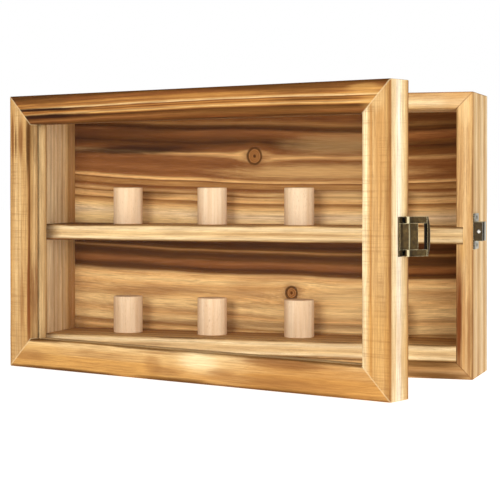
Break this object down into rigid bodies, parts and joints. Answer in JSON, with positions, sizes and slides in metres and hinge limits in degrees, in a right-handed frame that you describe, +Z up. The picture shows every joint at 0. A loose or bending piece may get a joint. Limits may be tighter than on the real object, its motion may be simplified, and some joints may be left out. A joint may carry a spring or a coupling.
{
  "type": "finger ring display case",
  "caption": "Shallow scorched-wood case with shelves of turned ring pegs behind a side-hinged clear-glazed door with a bronze loop latch.",
  "frame": {"origin": "centre of the case's flat bottom face", "axes": "+Z up, the door's side of the case faces -Y, +X to the right of someone looking at the door"},
  "size_m": [0.3143, 0.1778, 0.181],
  "materials": {
    "scorched_pine": "torch-scorched and brushed, clear satin",
    "shelf_pine": "scorched on the face, pale front edge, satin",
    "plain_pine": "sanded, satin",
    "turned_beech": "sanded, unfinished",
    "clear_acrylic": "clear, polished",
    "antique_bronze": "antiqued, rubbed bright on the edges",
    "brad_steel": "bright, dulled"
  },
  "bodies": {
    "case": {"back_brads": "brad_steel", "back_panel": "shelf_pine", "case_bottom": "scorched_pine", "case_left": "scorched_pine", "case_right": "scorched_pine", "case_top": "scorched_pine", "hinge_leaf_case_lower": "antique_bronze", "hinge_leaf_case_upper": "antique_bronze", "hinge_nails_case": "antique_bronze", "hinge_pin_lower": "antique_bronze", "hinge_pin_upper": "antique_bronze", "keeper": "antique_bronze", "keeper_nails": "antique_bronze", "lower_shelf": "shelf_pine", "peg_lower_1": "turned_beech", "peg_lower_2": "turned_beech", "peg_lower_3": "turned_beech", "peg_lower_4": "turned_beech", "peg_upper_1": "turned_beech", "peg_upper_2": "turned_beech", "peg_upper_3": "turned_beech", "peg_upper_4": "turned_beech", "upper_shelf": "shelf_pine"},
    "door": {"door_bottom_rail": "scorched_pine", "door_left_stile": "scorched_pine", "door_right_stile": "scorched_pine", "door_top_rail": "scorched_pine", "hinge_leaf_door_lower": "antique_bronze", "hinge_leaf_door_upper": "antique_bronze", "hinge_nails_door": "antique_bronze", "latch_base": "antique_bronze", "latch_nails": "antique_bronze", "latch_pin": "antique_bronze", "pane": "clear_acrylic", "pane_bead_bottom": "plain_pine", "pane_bead_left": "plain_pine", "pane_bead_right": "plain_pine", "pane_bead_top": "plain_pine"},
    "latch_loop": {"latch_loop": "antique_bronze"}
  },
  "joints": [
    {"name": "door_hinge", "type": "hinge", "parent": "case", "child": "door", "pos_m": [-0.153, -0.0277, 0.09], "axis": [0, 0, -1], "range_deg": [-20, 155]},
    {"name": "loop_hinge", "type": "hinge", "parent": "door", "child": "latch_loop", "pos_m": [0.13289, -0.1375, 0.0927], "axis": [0, 0, -1], "range_deg": [-25, 145]}
  ]
}
